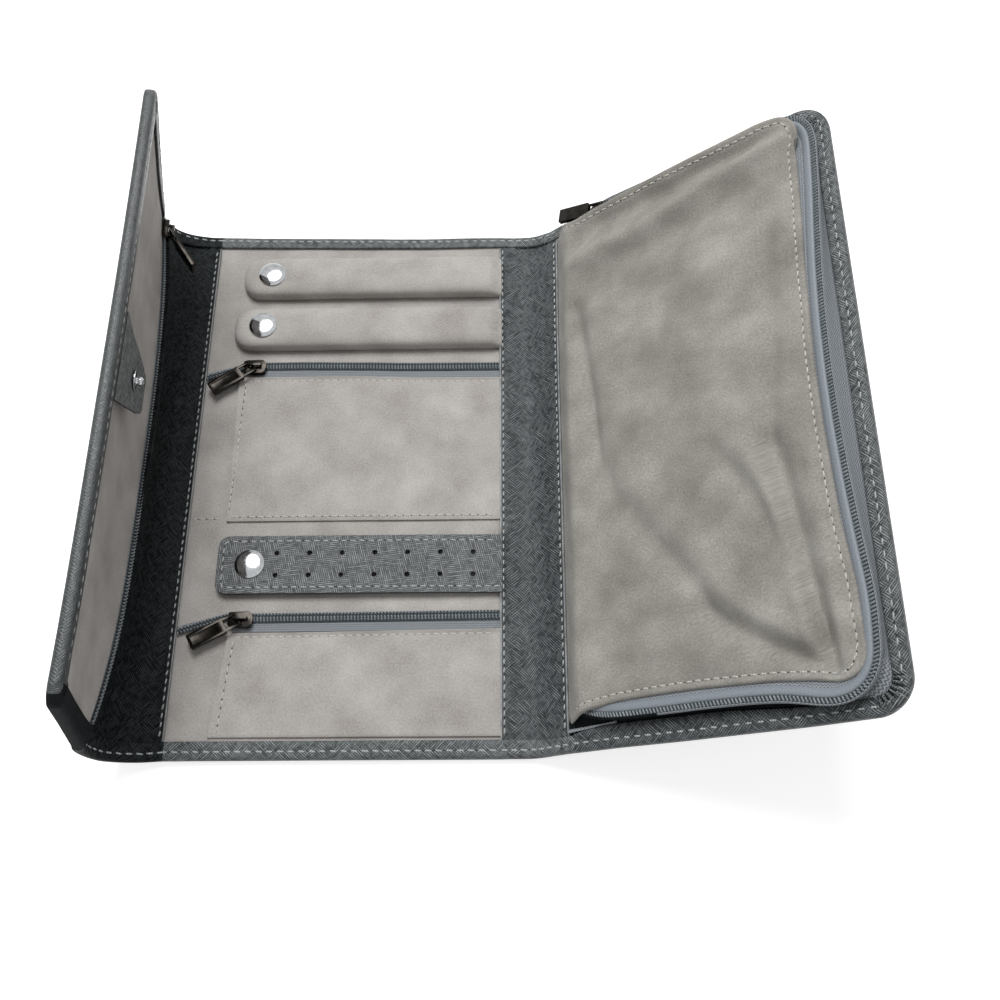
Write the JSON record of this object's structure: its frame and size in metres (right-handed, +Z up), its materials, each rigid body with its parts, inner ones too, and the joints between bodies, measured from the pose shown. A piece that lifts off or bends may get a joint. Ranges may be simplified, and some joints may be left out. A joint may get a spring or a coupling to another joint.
{
  "type": "travel jewelry organizer",
  "caption": "Folding travel jewelry organizer in grained leather lined with suede: snap-down ring bars, an earring strap, zipped pockets, a snap flap and a zipped case.",
  "frame": {"origin": "centre of the middle panel's underside, on the table", "axes": "+X towards the zipped case, -X towards the closure flap, +Y to the far end of the picture, +Z up off the table"},
  "size_m": [0.2779, 0.235, 0.0957],
  "materials": {
    "leather": "fine cross-hatched grain, satin",
    "board": "plain grey board, hidden",
    "suede": "short-nap microsuede",
    "door_suede": "short-nap microsuede, a little darker",
    "zip_tape": "woven herringbone tape",
    "zip_coil": "nylon coil",
    "gunmetal": "dark plated zinc, polished",
    "chrome": "bright plated"
  },
  "bodies": {
    "middle": {"middle_cover": "leather", "middle_board": "board", "middle_lining": "suede", "left_seam_strip": "leather", "right_seam_strip": "leather", "ring_bar_upper_stud": "chrome", "ring_bar_lower_stud": "chrome", "earring_strap_stud": "chrome", "upper_zip_upper_tape": "zip_tape", "upper_zip_lower_tape": "zip_tape", "upper_zip_upper_coil": "zip_coil", "upper_zip_lower_coil": "zip_coil", "lower_zip_upper_tape": "zip_tape", "lower_zip_lower_tape": "zip_tape", "lower_zip_upper_coil": "zip_coil", "lower_zip_lower_coil": "zip_coil", "upper_pocket_panel": "suede", "lower_pocket_panel": "suede"},
    "upper_ring_bar": {"ring_bar_upper": "suede", "ring_bar_upper_cap": "chrome", "ring_bar_upper_socket": "chrome"},
    "lower_ring_bar": {"ring_bar_lower": "suede", "ring_bar_lower_cap": "chrome", "ring_bar_lower_socket": "chrome"},
    "earring_strap": {"earring_strap": "leather", "earring_strap_cap": "chrome", "earring_strap_socket": "chrome"},
    "upper_slider": {"upper_pocket_slider": "gunmetal"},
    "upper_puller": {"upper_pocket_puller": "gunmetal"},
    "lower_slider": {"lower_pocket_slider": "gunmetal"},
    "lower_puller": {"lower_pocket_puller": "gunmetal"},
    "left_spine": {"left_spine_cover": "leather", "left_spine_band": "leather"},
    "left_flap": {"flap_cover": "leather", "flap_board": "board", "flap_lining": "suede", "flap_zip_inner_tape": "zip_tape", "flap_zip_outer_tape": "zip_tape", "flap_zip_inner_coil": "zip_coil", "flap_zip_outer_coil": "zip_coil"},
    "flap_slider": {"flap_slider": "gunmetal"},
    "flap_puller": {"flap_puller": "gunmetal"},
    "closure_tab": {"closure_tab": "leather", "closure_stud": "chrome"},
    "right_spine": {"right_spine_cover": "leather", "right_spine_band": "leather"},
    "right_case": {"case_cover": "leather", "case_board": "board", "case_lining": "suede", "case_root_gusset": "suede", "case_gusset_tape": "zip_tape", "case_coil": "zip_coil", "closure_socket": "chrome"},
    "case_slider": {"case_slider": "gunmetal"},
    "case_puller": {"case_puller": "gunmetal"},
    "case_door": {"case_door_panel": "door_suede", "case_door_tape": "zip_tape", "case_door_coil": "zip_coil"}
  },
  "joints": [
    {"name": "right_spine_fold", "type": "hinge", "parent": "middle", "child": "right_spine", "pos_m": [0.067, 0, 0.0005], "axis": [0, 1, 0], "range_deg": [-64, 26]},
    {"name": "right_case_fold", "type": "hinge", "parent": "right_spine", "child": "right_case", "pos_m": [0.08767, 0, 0.01058], "axis": [0, 1, 0], "range_deg": [-82, 8]},
    {"name": "left_spine_fold", "type": "hinge", "parent": "middle", "child": "left_spine", "pos_m": [-0.067, 0, 0.0005], "axis": [0, -1, 0], "range_deg": [-38, 52]},
    {"name": "left_flap_fold", "type": "hinge", "parent": "left_spine", "child": "left_flap", "pos_m": [-0.0867, 0, 0.02572], "axis": [0, -1, 0], "range_deg": [-38, 52]},
    {"name": "case_door_swing", "type": "hinge", "parent": "right_case", "child": "case_door", "pos_m": [0.08479, 0, 0.02058], "axis": [0, -1, 0], "range_deg": [0, 125]},
    {"name": "closure_tab_lift", "type": "hinge", "parent": "left_flap", "child": "closure_tab", "pos_m": [-0.06729, 0.006, 0.08667], "axis": [0, -1, 0], "range_deg": [-8, 60]},
    {"name": "upper_ring_bar_lift", "type": "hinge", "parent": "middle", "child": "upper_ring_bar", "pos_m": [0.0626, 0.092, 0.005], "axis": [0, 1, 0], "range_deg": [0, 60]},
    {"name": "lower_ring_bar_lift", "type": "hinge", "parent": "middle", "child": "lower_ring_bar", "pos_m": [0.0626, 0.066, 0.005], "axis": [0, 1, 0], "range_deg": [0, 60]},
    {"name": "earring_strap_lift", "type": "hinge", "parent": "middle", "child": "earring_strap", "pos_m": [0.0626, -0.042, 0.0052], "axis": [0, 1, 0], "range_deg": [0, 60]},
    {"name": "upper_zip_run", "type": "slide", "parent": "middle", "child": "upper_slider", "axis": [1, 0, 0], "range_m": [0, 0.095]},
    {"name": "upper_puller_swing", "type": "hinge", "parent": "upper_slider", "child": "upper_puller", "pos_m": [-0.0434, 0.046, 0.00765], "axis": [-0.5592, 0.829, 0], "range_deg": [0, 110]},
    {"name": "lower_zip_run", "type": "slide", "parent": "middle", "child": "lower_slider", "axis": [1, 0, 0], "range_m": [0, 0.09]},
    {"name": "lower_puller_swing", "type": "hinge", "parent": "lower_slider", "child": "lower_puller", "pos_m": [-0.0389, -0.064, 0.00765], "axis": [-0.4695, 0.8829, 0], "range_deg": [0, 110]},
    {"name": "flap_zip_run", "type": "slide", "parent": "left_flap", "child": "flap_slider", "axis": [0, -1, 0], "range_m": [0, 0.2]},
    {"name": "flap_puller_swing", "type": "hinge", "parent": "flap_slider", "child": "flap_puller", "pos_m": [-0.07923, 0.1011, 0.03024], "axis": [0.2419, 0, 0.9703], "range_deg": [-36, 50]},
    {"name": "case_zip_run", "type": "slide", "parent": "right_case", "child": "case_slider", "axis": [0.829, 0, 0.5592], "range_m": [0, 0.072]},
    {"name": "case_puller_swing", "type": "hinge", "parent": "case_slider", "child": "case_puller", "pos_m": [0.10406, 0.10885, 0.03617], "axis": [0.144, 0.9848, 0.0971], "range_deg": [0, 110]}
  ]
}
